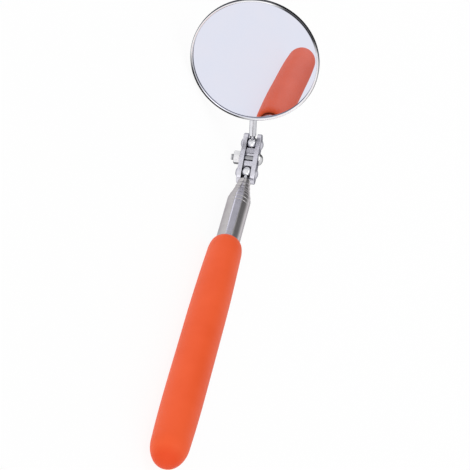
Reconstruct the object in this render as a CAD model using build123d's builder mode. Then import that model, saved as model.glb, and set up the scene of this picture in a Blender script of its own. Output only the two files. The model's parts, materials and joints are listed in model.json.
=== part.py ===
"""Telescoping inspection mirror: grip, six tube sections, double ball clamp and mirror head.

Dimensions are in millimetres. The tool is drawn with its handle along X and the mirror
offset towards Y, then turned about the handle so that it lies on a table.
"""
import os
from math import cos, pi, radians, sin, sqrt

from build123d import *

os.makedirs("parts", exist_ok=True)

# Pose of the drawing
rest_roll = 25.69          # turn about the handle that rests grip and rim on the table
plate_angle = 21.5         # clamp plates from the handle axis
stem_angle = 81.07         # mirror stem from the handle axis

# Grip: soft sleeve, closed at the back
grip_back = -60.0
grip_mouth = 75.7
grip_radius = 8.1
grip_seat = 20.0           # half length of the true cylinder
grip_mouth_radius = 7.4
grip_lip_radius = 5.75
grip_end_radius = 7.6
grip_dome = 11.4

# Tubes, from the outside in
tube_radii = [5.2, 4.75, 4.3, 3.85, 3.4, 2.95]
tube_shoulders = [107.9, 110.4, 112.2, 114.6, 117.8, 121.8]
tube_backs = [-55.0, -30.0, -29.0, -28.0, -27.0, -26.0]
tube_wall = 0.25
swage_length = 0.8
swage_gap = 0.03
slide_gap = 0.03
sleeve_length = 8.0
groove_places = [102.9, 105.5]
groove_half = 0.3
groove_depth = 0.12

# Ball joints
ball_radius = 3.1
seat_radius = 3.15
ball_spacing = 15.8
lower_ball_x = 129.5
neck_radius = 1.4

# Clamp plates
plate_length = 25.8
plate_width = 7.0
plate_inner = 2.1
plate_thick = 2.0
boss_radius = 2.5
boss_height = 1.05
boss_hole = 0.8
lug_start = 2.2
lug_half = 1.4
lug_gap = 0.3
lug_relief = 3.4
screw_radius = 1.4
screw_clearance = 1.45
head_radius = 2.7
head_height = 1.95
slot_width = 0.7
slot_depth = 0.9
nut_flats = 5.5
nut_thick = 2.9
nut_bore = 1.42
screw_end = -8.4
thread_pitch = 0.5
thread_depth = 0.2

# Mirror head
stem_radius = 1.6
stem_bore = 1.13
stem_start = 5.0
stem_end = 47.7
peg_radius = 1.1
peg_end = 13.0
mirror_reach = 42.7
mirror_offset = 5.4
cup_radius = 28.6
cup_depth = 3.2
cup_wall = 0.5
lip_radius = 27.5
glass_front = 1.3
glass_radius = 27.8
glass_thick = 1.0
silver_thick = 0.05
pad_thick = 0.26
bracket_length = 14.0
bracket_half = 6.5
bracket_wall = 0.8

plate_dir = Vector(cos(radians(plate_angle)), sin(radians(plate_angle)), 0)
stem_dir = Vector(cos(radians(stem_angle)), sin(radians(stem_angle)), 0)
face_dir = Vector(-sin(radians(stem_angle)), cos(radians(stem_angle)), 0)
screw_dir = Vector(0, 0, 1)
lower_ball = Vector(lower_ball_x, 0, 0)
upper_ball = lower_ball + plate_dir * ball_spacing
clamp_middle = lower_ball + plate_dir * (ball_spacing / 2)
mirror_front = upper_ball + stem_dir * mirror_reach + face_dir * mirror_offset
handle_plane = Plane.XY
stem_plane = Plane(origin=upper_ball, x_dir=stem_dir, z_dir=screw_dir)
mirror_plane = Plane(origin=mirror_front, x_dir=stem_dir, z_dir=screw_dir)
mirror_axis = Axis(mirror_front, face_dir)
stem_axis = Axis(upper_ball, stem_dir)


def save(name, part):
    """Turn a finished sub-part into its resting position and write it."""
    turned = part.rotate(Axis.X, rest_roll)
    turned.label = name
    export_step(turned, "parts/" + name + ".step")


# Grip sleeve
dome_start = grip_back + grip_dome
dome_points = [(dome_start, grip_end_radius)]
for step in (22.5, 45.0, 67.5):
    across = grip_end_radius * cos(radians(step)) ** 0.8
    dome_points.append((dome_start - grip_dome * sin(radians(step)), across))
dome_points.append((grip_back, 0))
tube_bore = tube_radii[0] + 0.03

with BuildPart() as grip_sleeve:
    with BuildSketch(handle_plane) as grip_profile:
        with BuildLine() as grip_outline:
            Line((grip_back + 4.5, 0), (grip_back, 0))
            Spline(*reversed(dome_points), tangents=((0, 1), (1, 0.02)))
            back = (dome_start, grip_end_radius)
            ThreePointArc(back, (-34.3, 7.975), (-grip_seat, grip_radius))
            Line((-grip_seat, grip_radius), (grip_seat, grip_radius))
            front = (grip_mouth - 7.0, grip_mouth_radius)
            ThreePointArc((grip_seat, grip_radius), (44.35, 7.925), front)
            lip = (grip_mouth, grip_lip_radius)
            Spline(front, (grip_mouth - 1.4, 6.75), lip, tangents=((1, -0.03), (0, -1)))
            Line(lip, (grip_mouth, tube_bore))
            Line((grip_mouth, tube_bore), (grip_back + 4.5, tube_bore))
            Line((grip_back + 4.5, tube_bore), (grip_back + 4.5, 0))
        make_face()
    revolve(axis=Axis.X)
save("grip_sleeve", grip_sleeve.part)

# Tube sections: each front end is swaged in to run on the next section
for index in range(5):
    outer = tube_radii[index]
    inner = outer - tube_wall
    neck = tube_radii[index + 1] + swage_gap
    shoulder = tube_shoulders[index]
    tip = shoulder + swage_length
    rim_points = [(tube_backs[index], outer)]
    if index == 0:
        for place in groove_places:
            rim_points.append((place - groove_half, outer))
            rim_points.append((place, outer - groove_depth))
            rim_points.append((place + groove_half, outer))
    rim_points.append((shoulder, outer))
    rim_points.append((shoulder + 0.5, neck + tube_wall + 0.03))
    rim_points.append((tip, neck + tube_wall - 0.08))
    rim_points.append((tip, neck))
    rim_points.append((shoulder - 0.2, neck))
    rim_points.append((shoulder - 0.9, inner))
    rim_points.append((tube_backs[index], inner))
    with BuildPart() as tube:
        with BuildSketch(handle_plane):
            with BuildLine():
                Polyline(*rim_points, close=True)
            make_face()
        revolve(axis=Axis.X)
    save("outer_tube" if index == 0 else "tube_" + str(index + 1), tube.part)

with BuildPart() as inner_tube:
    with BuildSketch(handle_plane):
        with Locations(((tube_backs[5] + tube_shoulders[5]) / 2, tube_radii[5] - tube_wall / 2)):
            Rectangle(tube_shoulders[5] - tube_backs[5], tube_wall)
    revolve(axis=Axis.X)
save("tube_6", inner_tube.part)

# Friction sleeves: split spring bands round the back end of each sliding section
for index in range(1, 6):
    band_inner = tube_radii[index] + 0.02
    band_outer = tube_radii[index - 1] - tube_wall - slide_gap
    band_middle = tube_backs[index] + sleeve_length / 2
    with BuildPart() as band:
        with BuildSketch(handle_plane):
            with Locations((band_middle, (band_inner + band_outer) / 2)):
                Rectangle(sleeve_length, band_outer - band_inner)
        revolve(axis=Axis.X)
        with Locations((band_middle, band_outer, 0)):
            Box(sleeve_length + 1, 3, 0.8, mode=Mode.SUBTRACT)
    save("friction_sleeve_" + str(index + 1), band.part)

# Lower ball stud, held in the innermost tube
stud_front = tube_shoulders[5]
ball_back = lower_ball_x - sqrt(ball_radius ** 2 - neck_radius ** 2)
with BuildPart() as lower_ball_stud:
    with BuildSketch(handle_plane):
        with BuildLine():
            Polyline(
                (ball_back, neck_radius), (stud_front + 1.9, neck_radius),
                (stud_front + 1.1, 1.8), (stud_front + 0.6, 2.7), (stud_front + 0.02, 2.9),
                (stud_front + 0.02, 2.66), (stud_front - 9.6, 2.66), (stud_front - 10.0, 2.3),
                (stud_front - 10.0, 0), (lower_ball_x + ball_radius, 0))
            ThreePointArc((ball_back, neck_radius), (lower_ball_x, ball_radius),
                          (lower_ball_x + ball_radius, 0))
        make_face()
    revolve(axis=Axis.X)
save("lower_ball_stud", lower_ball_stud.part)

# Clamp plates: one for the screw head with two lugs, one for the nut
for side, plate_name in ((1, "clamp_plate_head"), (-1, "clamp_plate_nut")):
    level = plate_inner * side
    plate_plane = Plane(origin=clamp_middle, x_dir=plate_dir, z_dir=screw_dir * side)
    with BuildPart() as plate:
        with BuildSketch(plate_plane.offset(plate_inner)):
            SlotOverall(plate_length, plate_width)
        extrude(amount=plate_thick)
        fillet(plate.edges().filter_by_position(
            Axis.Z, level + plate_thick * side - 0.01, level + plate_thick * side + 0.01), 0.35)
        for ball in (lower_ball, upper_ball):
            boss_plane = Plane(origin=ball, x_dir=plate_dir, z_dir=plate_dir.cross(screw_dir * side))
            top = plate_inner + plate_thick
            with BuildSketch(boss_plane):
                with BuildLine():
                    Polyline((0, top + boss_height), (0, top - 0.4), (boss_radius, top - 0.4),
                             (boss_radius, top))
                    ThreePointArc((boss_radius, top), (1.45, top + 0.72), (0, top + boss_height))
                make_face()
            revolve(axis=Axis(ball, screw_dir))
        if side > 0:
            lug_middle = (lug_start + ball_spacing / 2 - 3.0) / 2
            lug_long = ball_spacing / 2 - 3.0 - lug_start
            with BuildSketch(plate_plane.offset(lug_gap - plate_inner)):
                with Locations((lug_middle, 0), (-lug_middle, 0)):
                    Rectangle(lug_long, 2 * lug_half)
            extrude(amount=2 * plate_inner - lug_gap + 0.2)
            with BuildSketch(plate_plane.offset(-plate_inner)):
                with Locations((ball_spacing / 2, 0), (-ball_spacing / 2, 0)):
                    Circle(lug_relief)
            extrude(amount=2 * plate_inner, mode=Mode.SUBTRACT)
        with Locations(lower_ball, upper_ball):
            Sphere(seat_radius, mode=Mode.SUBTRACT)
            Cylinder(boss_hole, 14, mode=Mode.SUBTRACT)
        with Locations(clamp_middle):
            Cylinder(screw_clearance, 14, mode=Mode.SUBTRACT)
    save(plate_name, plate.part)

# Clamp screw, slotted round head
seat = plate_inner + plate_thick + 0.02
screw_plane = Plane(origin=clamp_middle, x_dir=plate_dir, z_dir=plate_dir.cross(screw_dir))
screw_points = [(0, seat + head_height), (0, screw_end), (screw_radius - 0.35, screw_end)]
crest = screw_end + 0.35
while crest < screw_end + 4.0:
    screw_points.append((screw_radius, crest))
    screw_points.append((screw_radius - thread_depth, crest + thread_pitch / 2))
    crest = crest + thread_pitch
screw_points.append((screw_radius, crest))
screw_points.append((screw_radius, seat))
screw_points.append((head_radius, seat))
screw_points.append((head_radius, seat + 0.45))
with BuildPart() as clamp_screw:
    with BuildSketch(screw_plane):
        with BuildLine():
            Polyline(*screw_points)
            ThreePointArc((head_radius, seat + 0.45), (1.75, seat + 1.5), (0, seat + head_height))
        make_face()
    revolve(axis=Axis(clamp_middle, screw_dir))
    slot_place = clamp_middle + screw_dir * (seat + head_height)
    with Locations(Location(slot_place, (0, 0, 1), plate_angle + 62)):
        Box(8, slot_width, 2 * slot_depth, mode=Mode.SUBTRACT)
save("clamp_screw", clamp_screw.part)

# Hex nut with chamfered corners
nut_seat = -(plate_inner + plate_thick + 0.02)
with BuildPart() as hex_nut:
    with BuildSketch(Plane(origin=clamp_middle, x_dir=plate_dir, z_dir=screw_dir * -1).offset(-nut_seat)):
        RegularPolygon(nut_flats / 2, 6, major_radius=False, rotation=12)
        Circle(nut_bore, mode=Mode.SUBTRACT)
    extrude(amount=nut_thick)
    with BuildSketch(screw_plane):
        with BuildLine():
            Polyline((0, nut_seat), (2.95, nut_seat), (3.25, nut_seat - 0.25),
                     (3.25, nut_seat - nut_thick + 0.4), (2.65, nut_seat - nut_thick),
                     (0, nut_seat - nut_thick), close=True)
        make_face()
    revolve(axis=Axis(clamp_middle, screw_dir), mode=Mode.INTERSECT)
save("hex_nut", hex_nut.part)

# Upper ball stud, pegged into the mirror stem
ball_front = sqrt(ball_radius ** 2 - (neck_radius - 0.2) ** 2)
with BuildPart() as upper_ball_stud:
    with BuildSketch(stem_plane):
        with BuildLine():
            Polyline(
                (ball_front, neck_radius - 0.2), (3.7, neck_radius - 0.2),
                (stem_start - 0.4, stem_radius), (stem_start - 0.02, stem_radius),
                (stem_start - 0.02, peg_radius), (peg_end - 0.3, peg_radius),
                (peg_end, peg_radius - 0.3), (peg_end, 0), (-ball_radius, 0))
            ThreePointArc((-ball_radius, 0), (0, ball_radius), (ball_front, neck_radius - 0.2))
        make_face()
    revolve(axis=stem_axis)
save("upper_ball_stud", upper_ball_stud.part)

# Mirror stem: rod drilled for the ball stud's peg
with BuildPart() as mirror_stem:
    with BuildSketch(stem_plane):
        with BuildLine():
            Polyline(
                (stem_start, stem_bore), (stem_start, stem_radius), (stem_end - 0.6, stem_radius),
                (stem_end, stem_radius - 0.6), (stem_end, 0), (peg_end + 0.4, 0),
                (peg_end + 0.1, stem_bore), close=True)
        make_face()
    revolve(axis=stem_axis)
save("mirror_stem", mirror_stem.part)

# Bracket: strap over the stem, spot welded to the back of the cup
strap_plane = Plane(origin=upper_ball + stem_dir * (mirror_reach - bracket_length / 2),
                    x_dir=screw_dir, z_dir=stem_dir * -1)
cup_back = mirror_offset - cup_depth
strap_outer = stem_radius + 0.03 + bracket_wall
with BuildPart() as stem_bracket:
    with BuildSketch(strap_plane):
        Circle(strap_outer)
        with Locations((0, cup_back / 2)):
            Rectangle(2 * strap_outer, cup_back)
        with Locations((0, cup_back - bracket_wall / 2)):
            Rectangle(2 * bracket_half, bracket_wall)
        with Locations((0, cup_back + 5)):
            Rectangle(30, 10, mode=Mode.SUBTRACT)
        Circle(stem_radius + 0.03, mode=Mode.SUBTRACT)
    extrude(amount=-bracket_length)
    corners = stem_bracket.edges().filter_by(Axis(upper_ball, face_dir))
    fillet(corners.filter_by(lambda edge: abs(edge.center().Z) > bracket_half - 0.2), 1.2)
    weld_plane = Plane(origin=mirror_front - face_dir * (cup_depth + bracket_wall),
                       x_dir=stem_dir, z_dir=face_dir)
    with BuildSketch(weld_plane):
        with GridLocations(bracket_length * 0.55, 2 * bracket_half - 3.4, 2, 2):
            Circle(0.8)
    extrude(amount=0.2, mode=Mode.SUBTRACT)
save("stem_bracket", stem_bracket.part)

# Mirror cup with a rolled rim
with BuildPart() as mirror_cup:
    with BuildSketch(mirror_plane):
        with BuildLine():
            Line((0, -cup_depth + cup_wall), (0, -cup_depth))
            Line((0, -cup_depth), (cup_radius - 1.6, -cup_depth))
            ThreePointArc((cup_radius - 1.6, -cup_depth),
                          (cup_radius - 1.6 + 1.6 * sin(pi / 4), -cup_depth + 1.6 - 1.6 * cos(pi / 4)),
                          (cup_radius, -cup_depth + 1.6))
            Line((cup_radius, -cup_depth + 1.6), (cup_radius, -0.55))
            ThreePointArc((cup_radius, -0.55), (cup_radius - 0.55, 0), (lip_radius, -0.55))
            Polyline((lip_radius, -0.55), (lip_radius, -glass_front),
                     (cup_radius - cup_wall - 0.1, -glass_front),
                     (cup_radius - cup_wall - 0.1, -cup_depth + 1.1),
                     (cup_radius - cup_wall - 0.7, -cup_depth + cup_wall),
                     (0, -cup_depth + cup_wall))
        make_face()
    revolve(axis=mirror_axis)
save("mirror_cup", mirror_cup.part)

# Glass, its silvering and the backing pad, stacked in the cup
glass_back = glass_front + 0.02 + glass_thick
pad_front = glass_back + 0.01 + silver_thick + 0.01
layers = [
    ("mirror_glass", glass_radius, glass_front + 0.02, glass_thick),
    ("mirror_silvering", glass_radius - 0.3, glass_back + 0.01, silver_thick),
    ("backing_pad", glass_radius - 0.7, pad_front, pad_thick),
]
for layer_name, layer_radius, layer_front, layer_thick in layers:
    layer_plane = Plane(origin=mirror_front - face_dir * layer_front, x_dir=stem_dir, z_dir=face_dir)
    with BuildPart() as layer:
        with BuildSketch(layer_plane):
            Circle(layer_radius)
        extrude(amount=-layer_thick)
        if layer_name == "mirror_glass":
            chamfer(layer.edges(), 0.12)
    save(layer_name, layer.part)
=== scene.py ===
import json
import math

import bmesh
import bpy
from mathutils import Matrix, Vector, noise


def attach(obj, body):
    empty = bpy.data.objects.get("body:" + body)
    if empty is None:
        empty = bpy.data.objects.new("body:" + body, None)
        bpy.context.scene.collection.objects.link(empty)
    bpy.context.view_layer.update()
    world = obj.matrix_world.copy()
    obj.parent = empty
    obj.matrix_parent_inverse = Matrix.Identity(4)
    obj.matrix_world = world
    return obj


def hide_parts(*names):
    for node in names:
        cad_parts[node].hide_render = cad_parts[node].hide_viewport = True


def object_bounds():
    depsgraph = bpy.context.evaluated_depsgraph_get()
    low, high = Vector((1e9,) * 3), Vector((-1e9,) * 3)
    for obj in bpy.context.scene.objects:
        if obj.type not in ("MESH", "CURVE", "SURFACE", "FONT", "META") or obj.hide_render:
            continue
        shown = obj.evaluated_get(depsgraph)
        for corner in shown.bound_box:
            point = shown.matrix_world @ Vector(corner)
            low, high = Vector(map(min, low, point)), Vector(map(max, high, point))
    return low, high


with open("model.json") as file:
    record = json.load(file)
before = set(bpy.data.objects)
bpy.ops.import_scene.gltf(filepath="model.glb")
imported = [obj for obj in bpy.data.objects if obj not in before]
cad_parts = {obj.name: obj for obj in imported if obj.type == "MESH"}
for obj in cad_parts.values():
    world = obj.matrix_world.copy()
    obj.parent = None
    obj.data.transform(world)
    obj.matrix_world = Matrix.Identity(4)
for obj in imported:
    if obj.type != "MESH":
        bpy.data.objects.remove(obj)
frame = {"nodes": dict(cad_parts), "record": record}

cad_low, cad_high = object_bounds()

MM = 0.001
ROLL = math.radians(25.69)        # turn of the clamp plane about the handle
PLATE = math.radians(21.5)        # clamp plates from the handle axis
STEM = math.radians(81.07)        # mirror stem from the handle axis
LOWER_BALL_X = 129.5
BALL_SPACING = 15.8
MIRROR_REACH = 42.7
MIRROR_OFFSET = 5.4
GRIP_BACK, GRIP_MOUTH = -60.0, 75.7
GRIP_R, GRIP_END_R, GRIP_MOUTH_R, GRIP_LIP_R = 8.1, 7.6, 7.4, 5.75
GRIP_SEAT = 20.0                  # half length of the straight middle
GRIP_DOME, GRIP_NOSE = 11.4, 7.0  # lengths of the closed end and of the mouth's rounding
GRIP_ROUNDING = 0.9               # under 1 is blunter than a quarter ellipse
GRIP_FLOOR = 4.5                  # vinyl behind the tube's end
SKIN_DEPTH = 0.07
TUBE_R = 5.2


def turned(x, y, z):
    """A point of the clamp plane's own frame, in millimetres, as a row point in metres."""
    up = y * math.sin(ROLL) + z * math.cos(ROLL)
    side = y * math.cos(ROLL) - z * math.sin(ROLL)
    return Vector((x, side, up)) * MM


PLATE_DIR = turned(math.cos(PLATE), math.sin(PLATE), 0) / MM
STEM_DIR = turned(math.cos(STEM), math.sin(STEM), 0) / MM
FACE_DIR = turned(-math.sin(STEM), math.cos(STEM), 0) / MM
SCREW_DIR = turned(0, 0, 1) / MM
LOWER_BALL = turned(LOWER_BALL_X, 0, 0)
UPPER_BALL = LOWER_BALL + PLATE_DIR * BALL_SPACING * MM
CLAMP_MIDDLE = (LOWER_BALL + UPPER_BALL) / 2
MIRROR_FRONT = UPPER_BALL + (STEM_DIR * MIRROR_REACH + FACE_DIR * MIRROR_OFFSET) * MM

# ---------------------------------------------------------------- materials


class Finish:
    """A material under construction: a Principled shader and helpers that add nodes to it."""

    def __init__(self, name, color, rough, metal=0.0, **constants):
        self.mat = bpy.data.materials.new(name)
        self.mat.use_nodes = True
        self.tree = self.mat.node_tree
        self.shader = self.tree.nodes["Principled BSDF"]
        self.set(self.shader, "Base Color", color)
        self.set(self.shader, "Roughness", rough)
        self.set(self.shader, "Metallic", metal)
        for key, value in constants.items():
            self.set(self.shader, key.replace("_", " "), value)
        self.coord = self.node("ShaderNodeTexCoord").outputs["Object"]

    def set(self, node, socket, value):
        if isinstance(value, (tuple, list)) and len(value) == 3:
            if node.inputs[socket].type == "RGBA":
                value = (*value, 1.0)
        node.inputs[socket].default_value = value

    def node(self, kind, **props):
        made = self.tree.nodes.new(kind)
        for key, value in props.items():
            setattr(made, key, value)
        return made

    def link(self, a, b):
        self.tree.links.new(a, b)

    def mapping(self, scale, rotation=(0, 0, 0)):
        made = self.node("ShaderNodeMapping")
        self.link(self.coord, made.inputs["Vector"])
        made.inputs["Scale"].default_value = scale
        made.inputs["Rotation"].default_value = rotation
        return made.outputs["Vector"]

    def noise(self, size_mm, detail=3.0, roughness=0.5, stretch=(1, 1, 1), rotation=(0, 0, 0)):
        made = self.node("ShaderNodeTexNoise")
        self.link(self.mapping(stretch, rotation), made.inputs["Vector"])
        made.inputs["Scale"].default_value = 1.0 / (size_mm * MM)
        made.inputs["Detail"].default_value = detail
        made.inputs["Roughness"].default_value = roughness
        return made.outputs["Fac"]

    def ramp(self, factor, low, high, out_low=0.0, out_high=1.0):
        made = self.node("ShaderNodeMapRange")
        self.link(factor, made.inputs["Value"])
        made.inputs["From Min"].default_value = low
        made.inputs["From Max"].default_value = high
        made.inputs["To Min"].default_value = out_low
        made.inputs["To Max"].default_value = out_high
        return made.outputs["Result"]

    def mix(self, factor, a, b):
        made = self.node("ShaderNodeMix", data_type="RGBA")
        self.link(factor, made.inputs["Factor"])
        for socket, value in (("A", a), ("B", b)):
            target = [i for i in made.inputs if i.name == socket and i.type == "RGBA"][0]
            if isinstance(value, (tuple, list)):
                target.default_value = (*value[:3], 1.0)
            else:
                self.link(value, target)
        return [o for o in made.outputs if o.type == "RGBA"][0]

    def vector(self, operation, a, b=None):
        """A vector node on output a and, if given, a constant vector b."""
        made = self.node("ShaderNodeVectorMath", operation=operation)
        self.link(a, made.inputs[0])
        if b is not None:
            made.inputs[1].default_value = b
        scalar = operation in ("DOT_PRODUCT", "LENGTH", "DISTANCE")
        return made.outputs["Value" if scalar else "Vector"]

    def number(self, operation, a, b):
        """A math node on two outputs."""
        made = self.node("ShaderNodeMath", operation=operation)
        self.link(a, made.inputs[0])
        self.link(b, made.inputs[1])
        return made.outputs["Value"]

    def above(self, length, low_mm, high_mm):
        """0 where a length is under low_mm, rising to 1 at high_mm."""
        return self.ramp(length, low_mm * MM, high_mm * MM)

    def below(self, length, low_mm, high_mm):
        """1 where a length is under low_mm, falling to 0 at high_mm."""
        return self.ramp(length, low_mm * MM, high_mm * MM, 1.0, 0.0)

    def near(self, centre, inner_mm, outer_mm):
        """1 within inner_mm of a point of the row frame, fading to 0 at outer_mm."""
        return self.below(self.vector("DISTANCE", self.coord, centre), inner_mm, outer_mm)

    def openness(self, reach_mm):
        """1 on open faces, falling to 0 in corners and slots narrower than reach_mm."""
        made = self.node("ShaderNodeAmbientOcclusion", samples=8)
        made.inputs["Distance"].default_value = reach_mm * MM
        return made.outputs["AO"]

    def bump(self, height, strength, distance_mm, below=None):
        made = self.node("ShaderNodeBump")
        made.inputs["Strength"].default_value = strength
        made.inputs["Distance"].default_value = distance_mm * MM
        self.link(height, made.inputs["Height"])
        if below is not None:
            self.link(below, made.inputs["Normal"])
        return made.outputs["Normal"]

    def use(self, **sockets):
        for key, output in sockets.items():
            self.link(output, self.shader.inputs[key.replace("_", " ")])
        return self.mat


EDGE_TINT = (0.16, 0.16, 0.19)     # plated steel darkens at grazing angles
TUBE_EDGE_TINT = (0.62, 0.60, 0.62)
SCREW_EDGE_TINT = (0.02, 0.02, 0.025)
NEAR_BLACK = (0.03, 0.03, 0.035)
# colour of painted shade in crevices
CREVICE_SHADE = (0.05, 0.05, 0.055)


def vinyl():
    """Dip-moulded soft vinyl: satin orange with a faint orange-peel skin and slow colour drift."""
    f = Finish("grip_vinyl", (0.85, 0.108, 0.026), 0.42, Specular_IOR_Level=0.18)
    drift = f.noise(18.0, 2.0)
    fine = f.noise(0.55, 3.0, 0.6)
    slow = f.noise(7.0, 2.0, 0.5)
    speck = f.noise(0.16, 2.0, 0.7)
    color = f.mix(f.ramp(drift, 0.35, 0.65), (0.84, 0.100, 0.024), (0.875, 0.112, 0.030))
    along = f.vector("DOT_PRODUCT", f.coord, (1, 0, 0))
    # painted shade: darker towards the closed end
    closed_end_shade = f.ramp(along, (GRIP_BACK + 5.0) * MM, (GRIP_BACK + 1.5) * MM)
    color = f.mix(closed_end_shade, color, (0.80, 0.075, 0.016))
    normal = f.bump(slow, 0.04, 0.5)
    normal = f.bump(fine, 0.22, 0.06, normal)
    normal = f.bump(speck, 0.10, 0.02, normal)
    return f.use(Base_Color=color, Roughness=f.ramp(fine, 0.3, 0.7, 0.42, 0.56), Normal=normal)


def tinted(tone, red, green, blue):
    """One tone as a colour, each channel scaled on its own."""
    return (tone * red, tone * green, tone * blue)


def drawn_steel(tone, rough):
    """Drawn stainless tube: fine lengthwise polish lines, handling marks, and painted shade in the
    ring joints and other recesses.
    """
    f = Finish("tube_steel", tinted(tone, 1.0, 0.985, 0.99), rough, 1.0,
               Specular_Tint=TUBE_EDGE_TINT)
    lines = f.noise(0.35, 2.0, 0.6, stretch=(0.02, 1.0, 1.0))
    rings = f.noise(0.25, 2.0, 0.5, stretch=(1.0, 0.06, 0.06))
    marks = f.noise(6.0, 3.0, 0.6)
    color = f.mix(f.ramp(marks, 0.35, 0.7), tinted(tone, 1.01, 0.975, 0.99),
                  tinted(tone, 0.90, 0.865, 0.88))
    # painted shade: near black where ambient occlusion finds corners and gaps, such as the ring
    # joints
    color = f.mix(f.ramp(f.openness(0.7), 0.35, 0.85), (0.04, 0.04, 0.045), color)
    normal = f.bump(lines, 0.06, 0.02)
    normal = f.bump(rings, 0.04, 0.015, normal)
    return f.use(Base_Color=color, Roughness=f.ramp(lines, 0.3, 0.7, rough * 0.85, rough * 1.2),
                 Normal=normal)


def plated(name, tint, rough, wear_mm=2.0, grain_mm=0.3, strength=0.05, shade_centres=(), crevice_shade_mm=0.0,
           edge=EDGE_TINT, shade_span=(3.15, 3.5), shade_color=NEAR_BLACK):
    """Bright plating over stamped or turned steel, with fine grain and slight dulling."""
    f = Finish(name, tint, rough, 1.0, Specular_Tint=edge)
    grain = f.noise(grain_mm, 3.0, 0.6)
    wear = f.noise(wear_mm, 3.0, 0.6)
    dull = tuple(c * 0.86 for c in tint)
    color = f.mix(f.ramp(wear, 0.4, 0.75), tint, dull)
    # painted shade: dark near each given point, such as the ball seats and the screw shaft in the
    # clamp
    for centre in shade_centres:
        color = f.mix(f.near(centre, *shade_span), color, shade_color)
    # painted shade: darkens corners and slots that ambient occlusion finds
    if crevice_shade_mm:
        color = f.mix(f.ramp(f.openness(crevice_shade_mm), 0.25, 0.75), CREVICE_SHADE, color)
    normal = f.bump(grain, strength, 0.02)
    return f.use(Base_Color=color, Roughness=f.ramp(wear, 0.3, 0.75, rough * 0.8, rough * 1.5),
                 Normal=normal)


def rim():
    """Polished rim, with painted shade in the joint at the glass and on the side wall, a painted
    dark outline, and two arcs of painted dark reflection.
    """
    f = Finish("rim_chrome", (0.88, 0.88, 0.90), 0.05, 1.0, Specular_Tint=EDGE_TINT)
    wear = f.noise(5.0, 3.0, 0.6)
    offset = f.vector("SUBTRACT", f.coord, MIRROR_FRONT)
    depth = f.vector("DOT_PRODUCT", offset, -FACE_DIR)
    radius = f.vector("LENGTH", offset)
    across = f.vector("NORMALIZE", offset)
    turn = f.vector("DOT_PRODUCT", across, (STEM_DIR + SCREW_DIR).normalized())
    height = f.vector("DOT_PRODUCT", across, STEM_DIR)

    # where on the rim: the two arcs of painted dark reflection, the lip, its painted dark outline,
    # the side wall and the joint
    dark_reflection_arcs = f.number("ADD", f.ramp(turn, 0.84, 0.95), f.ramp(turn, -0.66, -0.86))
    lip = f.above(radius, 27.62, 27.78)
    bore = f.below(radius, 27.62, 27.80)
    painted_outline = f.number("MULTIPLY", f.above(radius, 28.28, 28.42), f.ramp(height, -0.75, -0.45))
    wall = f.number("MULTIPLY", f.above(depth, 0.18, 0.40), f.above(radius, 28.1, 28.4))
    glass_level = f.number("MULTIPLY", f.above(depth, 0.75, 1.05), f.below(depth, 1.6, 1.9))

    color = f.mix(f.ramp(wear, 0.4, 0.75), (0.93, 0.93, 0.95), (0.84, 0.84, 0.87))
    # painted shade in the joint at the glass, darker along the two arcs as painted reflection
    joint = f.mix(dark_reflection_arcs, (0.34, 0.34, 0.36), (0.05, 0.05, 0.055))
    color = f.mix(f.number("MULTIPLY", bore, glass_level), color, joint)
    # painted dark reflection on the lip along the two arcs
    color = f.mix(f.number("MULTIPLY", lip, dark_reflection_arcs), color, NEAR_BLACK)
    # painted dark outline round the outer edge, fading out at the bottom
    color = f.mix(painted_outline, color, (0.10, 0.10, 0.11))
    # painted shade on the side wall: light at the bottom, dark at the top, and black along the two
    # arcs as painted reflection
    side = f.mix(f.ramp(height, -0.2, 0.3), (0.92, 0.92, 0.94), (0.20, 0.20, 0.21))
    color = f.mix(wall, color, f.mix(dark_reflection_arcs, side, NEAR_BLACK))
    return f.use(Base_Color=color, Roughness=f.ramp(wear, 0.3, 0.75, 0.04, 0.09),
                 Normal=f.bump(f.noise(0.4, 3.0, 0.6), 0.02, 0.02))


def brass():
    """Thin slotted sleeves between the tube sections."""
    f = Finish("sleeve_brass", (0.78, 0.60, 0.30), 0.3, 1.0)
    grain = f.noise(0.4, 3.0, 0.6, stretch=(1.0, 0.1, 0.1))
    color = f.mix(f.ramp(grain, 0.3, 0.7), (0.80, 0.62, 0.32), (0.62, 0.45, 0.20))
    return f.use(Base_Color=color, Normal=f.bump(grain, 0.08, 0.02))


def mirror_face():
    """Front of the mirror: a near perfect reflector, faintly cool, with very slight haze."""
    f = Finish("mirror_glass", (0.76, 0.77, 0.875), 0.0, 1.0)
    haze = f.noise(9.0, 2.0, 0.5)
    color = f.mix(f.ramp(haze, 0.3, 0.7), (0.75, 0.768, 0.875), (0.765, 0.772, 0.87))
    return f.use(Base_Color=color, Roughness=f.ramp(haze, 0.35, 0.75, 0.0, 0.012))


def card():
    """Fibre pad behind the glass."""
    f = Finish("backing_pad", (0.35, 0.33, 0.30), 0.9)
    fibre = f.noise(0.5, 4.0, 0.7)
    return f.use(Base_Color=f.mix(fibre, (0.28, 0.26, 0.23), (0.42, 0.40, 0.36)),
                 Normal=f.bump(fibre, 0.3, 0.05))


def silver():
    """Silvered back of the glass."""
    f = Finish("silvering", (0.9, 0.9, 0.92), 0.05, 1.0)
    haze = f.noise(3.0, 2.0, 0.5)
    return f.use(Roughness=f.ramp(haze, 0.3, 0.7, 0.04, 0.12))


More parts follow.
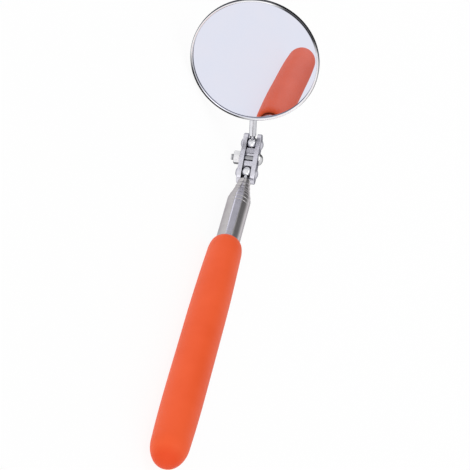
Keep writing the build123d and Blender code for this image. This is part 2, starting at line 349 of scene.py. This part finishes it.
MATERIALS = {
    "grip_vinyl": vinyl(),
    "tube_steel": drawn_steel(0.55, 0.13),
    "sleeve_brass": brass(),
    # the balls get painted shade on their sides, in the gap between the plates
    "ball_chrome": plated("ball_chrome", (0.80, 0.80, 0.83), 0.06, 1.5, 0.2, 0.03, crevice_shade_mm=1.9),
    # the plates get painted black shade round the balls in their seats, and painted shade in
    # crevices
    "plate_nickel": plated("plate_nickel", (0.75, 0.74, 0.81), 0.22, 2.2, 0.22, 0.10,
                           shade_centres=(LOWER_BALL, UPPER_BALL), crevice_shade_mm=0.7),
    # the screw gets painted shade on its shaft between the clamp plates, and painted shade in
    # crevices
    "fastener_zinc": plated("fastener_zinc", (0.84, 0.84, 0.86), 0.08, 1.2, 0.2, 0.06, crevice_shade_mm=1.2,
                            edge=SCREW_EDGE_TINT, shade_centres=(CLAMP_MIDDLE,),
                            shade_span=(2.2, 3.2), shade_color=(0.36, 0.36, 0.38)),
    "stem_chrome": plated("stem_chrome", (0.80, 0.80, 0.84), 0.09, 2.0, 0.25, 0.03),
    "rim_chrome": rim(),
    "mirror_glass": mirror_face(),
    "silvering": silver(),
    "backing_pad": card(),
}

slots = {row["node"]: row["material_slot"] for row in frame["record"]["subparts"]}
for node, obj in frame["nodes"].items():
    obj.data.materials.clear()
    obj.data.materials.append(MATERIALS[slots[node]])

# ---------------------------------------------------------------- lathe work


def mesh_object(name, verts, faces, material):
    """A smooth closed mesh with its normals outwards, in the row frame."""
    mesh = bpy.data.meshes.new(name)
    mesh.from_pydata(verts, [], faces)
    mesh.validate()
    bm = bmesh.new()
    bm.from_mesh(mesh)
    bmesh.ops.recalc_face_normals(bm, faces=bm.faces)
    bm.to_mesh(mesh)
    bm.free()
    for poly in mesh.polygons:
        poly.use_smooth = True
    mesh.materials.append(MATERIALS[material])
    made = bpy.data.objects.new(name, mesh)
    bpy.context.scene.collection.objects.link(made)
    return made


def lathe(name, profile, origin, axis, material, turns=96, wobble=None):
    """Turns a profile of (along, radius) points in millimetres about an axis through origin."""
    axis = axis.normalized()
    first = axis.orthogonal().normalized()
    second = axis.cross(first)
    verts, rings = [], []
    for along, radius in profile:
        base = origin + axis * along * MM
        if radius < 1e-6:
            rings.append([len(verts)])
            verts.append(base)
            continue
        ring = []
        for k in range(turns):
            angle = 2 * math.pi * k / turns
            out = first * math.cos(angle) + second * math.sin(angle)
            r = radius
            if wobble is not None:
                r = radius + wobble(along, radius, out)
            ring.append(len(verts))
            verts.append(base + out * r * MM)
        rings.append(ring)
    faces = []
    for a, b in zip(rings, rings[1:]):
        for k in range(turns):
            n = (k + 1) % turns
            if len(a) == 1 and len(b) > 1:
                faces.append((a[0], b[k], b[n]))
            elif len(b) == 1 and len(a) > 1:
                faces.append((a[k], b[0], a[n]))
            elif len(a) > 1:
                faces.append((a[k], b[k], b[n], a[n]))
    return mesh_object(name, verts, faces, material)


# ---------------------------------------------------------------- grip


def grip_outline(dome_steps=15, middle_steps=120, nose_steps=12):
    """Outside of the sleeve from its closed end to its mouth."""
    start, end = GRIP_BACK + GRIP_DOME, GRIP_MOUTH - GRIP_NOSE
    points = [(GRIP_BACK, 0.0)]
    for k in range(1, dome_steps):
        a = math.pi / 2 * (1 - k / dome_steps)
        points.append((start - GRIP_DOME * math.sin(a), GRIP_END_R * math.cos(a) ** GRIP_ROUNDING))
    for k in range(middle_steps + 1):
        x = start + (end - start) * k / middle_steps
        back = max(0.0, (-GRIP_SEAT - x) / (-GRIP_SEAT - start))
        front = max(0.0, (x - GRIP_SEAT) / (end - GRIP_SEAT))
        r = GRIP_R - (GRIP_R - GRIP_END_R) * back ** 2 - (GRIP_R - GRIP_MOUTH_R) * front ** 2
        points.append((x, r))
    for k in range(1, nose_steps + 1):
        a = math.pi / 2 * k / nose_steps
        points.append((end + GRIP_NOSE * math.sin(a),
                       GRIP_LIP_R + (GRIP_MOUTH_R - GRIP_LIP_R) * math.cos(a) ** GRIP_ROUNDING))
    return points


def grip_inside():
    """Mouth lip, bore just clear of the tube, and the flat the tube's end stands on."""
    return [(GRIP_MOUTH - 0.02, TUBE_R + 0.12), (GRIP_MOUTH - 0.2, TUBE_R + 0.06),
            (GRIP_MOUTH - 0.7, TUBE_R + 0.04), (GRIP_MOUTH - 2.0, TUBE_R + 0.03),
            (GRIP_BACK + GRIP_FLOOR + 0.1, TUBE_R + 0.03),
            (GRIP_BACK + GRIP_FLOOR, TUBE_R - 0.1), (GRIP_BACK + GRIP_FLOOR, 0.0)]


def grip_skin(along, radius, out):
    """Slow unevenness of a dipped skin, always inwards from the drawn size."""
    spot = Vector((along * 0.045, out.y * 1.3, out.z * 1.3))
    outside = radius > TUBE_R + 0.1
    return -SKIN_DEPTH * (0.5 + 0.5 * noise.noise(spot)) if outside else 0.0


grip = lathe("grip_skin", grip_outline() + grip_inside(), Vector((0, 0, 0)), Vector((1, 0, 0)),
             "grip_vinyl", turns=112, wobble=grip_skin)
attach(grip, "handle")
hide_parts("grip_sleeve")

# ---------------------------------------------------------------- floor, light, camera
FLOOR_Z = cad_low.z - 0.0002     # just clear of the grip
FLOOR_HALF = 6.0
FLOOR_COLOR, FLOOR_GLOW = (0.08, 0.08, 0.08), 0.915


def light_table(name, color, glow):
    """A pale sheet lit from behind, so that it takes only faint shadows."""
    f = Finish(name, color, 0.9, 0.0, Specular_IOR_Level=0.1, Emission_Strength=glow,
               Emission_Color=(1.0, 1.0, 1.0))
    grain = f.noise(40.0, 3.0)
    return f.use(Base_Color=f.mix(grain, color, tuple(c * 0.995 for c in color)))


floor_mesh = bpy.data.meshes.new("floor")
floor_mesh.from_pydata([(-FLOOR_HALF, -FLOOR_HALF, FLOOR_Z), (FLOOR_HALF, -FLOOR_HALF, FLOOR_Z),
                        (FLOOR_HALF, FLOOR_HALF, FLOOR_Z), (-FLOOR_HALF, FLOOR_HALF, FLOOR_Z)],
                       [], [(0, 1, 2, 3)])
floor = bpy.data.objects.new("floor", floor_mesh)
floor_mesh.materials.append(light_table("light_table", FLOOR_COLOR, FLOOR_GLOW))
bpy.context.scene.collection.objects.link(floor)

world = bpy.data.worlds.new("studio")
bpy.context.scene.world = world
world.use_nodes = True
tree = world.node_tree
background = tree.nodes["Background"]
coord = tree.nodes.new("ShaderNodeTexCoord")


def lobe(direction, inner, outer):
    """1 near a direction and 0 away from it, with a soft edge; angles in degrees."""
    dot = tree.nodes.new("ShaderNodeVectorMath")
    dot.operation = "DOT_PRODUCT"
    norm = tree.nodes.new("ShaderNodeVectorMath")
    norm.operation = "NORMALIZE"
    tree.links.new(coord.outputs["Generated"], norm.inputs[0])
    tree.links.new(norm.outputs["Vector"], dot.inputs[0])
    dot.inputs[1].default_value = Vector(direction).normalized()
    fade = tree.nodes.new("ShaderNodeMapRange")
    fade.interpolation_type = "SMOOTHSTEP"
    tree.links.new(dot.outputs["Value"], fade.inputs["Value"])
    fade.inputs["From Min"].default_value = math.cos(math.radians(outer))
    fade.inputs["From Max"].default_value = math.cos(math.radians(inner))
    return fade.outputs["Result"]


def add_light(total, amount, factor):
    """total + amount * factor as a node output."""
    made = tree.nodes.new("ShaderNodeMath")
    made.operation = "MULTIPLY_ADD"
    made.inputs[1].default_value = amount
    tree.links.new(factor, made.inputs[0])
    if isinstance(total, float):
        made.inputs[2].default_value = total
    else:
        tree.links.new(total, made.inputs[2])
    return made.outputs["Value"]


# The studio: strength added, direction, degrees to full strength and to none.
STUDIO_LEVEL = 0.80
DARK_FLAGS = [
    (-0.56, (0.70, -0.04, 0.70), 8, 29),
    (-0.5, (0.5, 0.24, 0.8), 4, 16),
    (-0.5, (0.93, 0.12, 0.36), 6, 16),
    (-0.45, (-0.948, -0.317, 0.02), 3, 9),
]
BRIGHT_PANELS = [
    (0.9, (0.7875, 0.61, 0.079), 0.5, 3.5),
    (1.6, (-0.59, 0.81, 0.03), 0.5, 4),      # reaches the tube by way of the mirror
    (0.14, (0.0, 1.0, 0.1), 20, 70),
    (0.40, (0.79, -0.56, 0.25), 4, 14),      # pale edge of the tube
    (0.9, (-0.90, 0.25, 0.35), 5, 28),
]
level = STUDIO_LEVEL
for amount, direction, full, none in DARK_FLAGS + BRIGHT_PANELS:
    level = add_light(level, amount, lobe(direction, full, none))
tree.links.new(level, background.inputs["Strength"])
background.inputs["Color"].default_value = (1.0, 1.0, 1.0, 1.0)


def area(name, place, target, size, power):
    """A white rectangular lamp at place, facing target; metres and watts."""
    light = bpy.data.lights.new(name, "AREA")
    light.shape = "RECTANGLE"
    light.size, light.size_y = size
    light.energy = power
    made = bpy.data.objects.new(name, light)
    bpy.context.scene.collection.objects.link(made)
    made.location = place
    made.rotation_mode = "QUATERNION"
    made.rotation_quaternion = (Vector(target) - Vector(place)).to_track_quat("-Z", "Y")
    return made


area("key", place=(-0.15, 0.35, 1.15), target=(0.08, 0.02, 0.01), size=(0.9, 0.9), power=2.2)

CAMERA_PLACE = Vector((-0.5735, 0.4074, 0.3143))
CAMERA_RIGHT = Vector((0.1651, -0.4175, 0.8937))
CAMERA_UP = Vector((0.5938, 0.7656, 0.2480))
LENS_MM, SENSOR_MM = 149.3617, 36.0
right = CAMERA_RIGHT.normalized()
up = (CAMERA_UP - right * CAMERA_UP.dot(right)).normalized()
back = right.cross(up)
camera_data = bpy.data.cameras.new("camera")
camera_data.sensor_width = SENSOR_MM
camera_data.lens = LENS_MM
camera_data.clip_start = 0.01
camera = bpy.data.objects.new("camera", camera_data)
bpy.context.scene.collection.objects.link(camera)
camera.matrix_world = Matrix((
    (right.x, up.x, back.x, CAMERA_PLACE.x),
    (right.y, up.y, back.y, CAMERA_PLACE.y),
    (right.z, up.z, back.z, CAMERA_PLACE.z),
    (0, 0, 0, 1)))
bpy.context.scene.camera = camera
bpy.context.scene.view_settings.view_transform = "Standard"
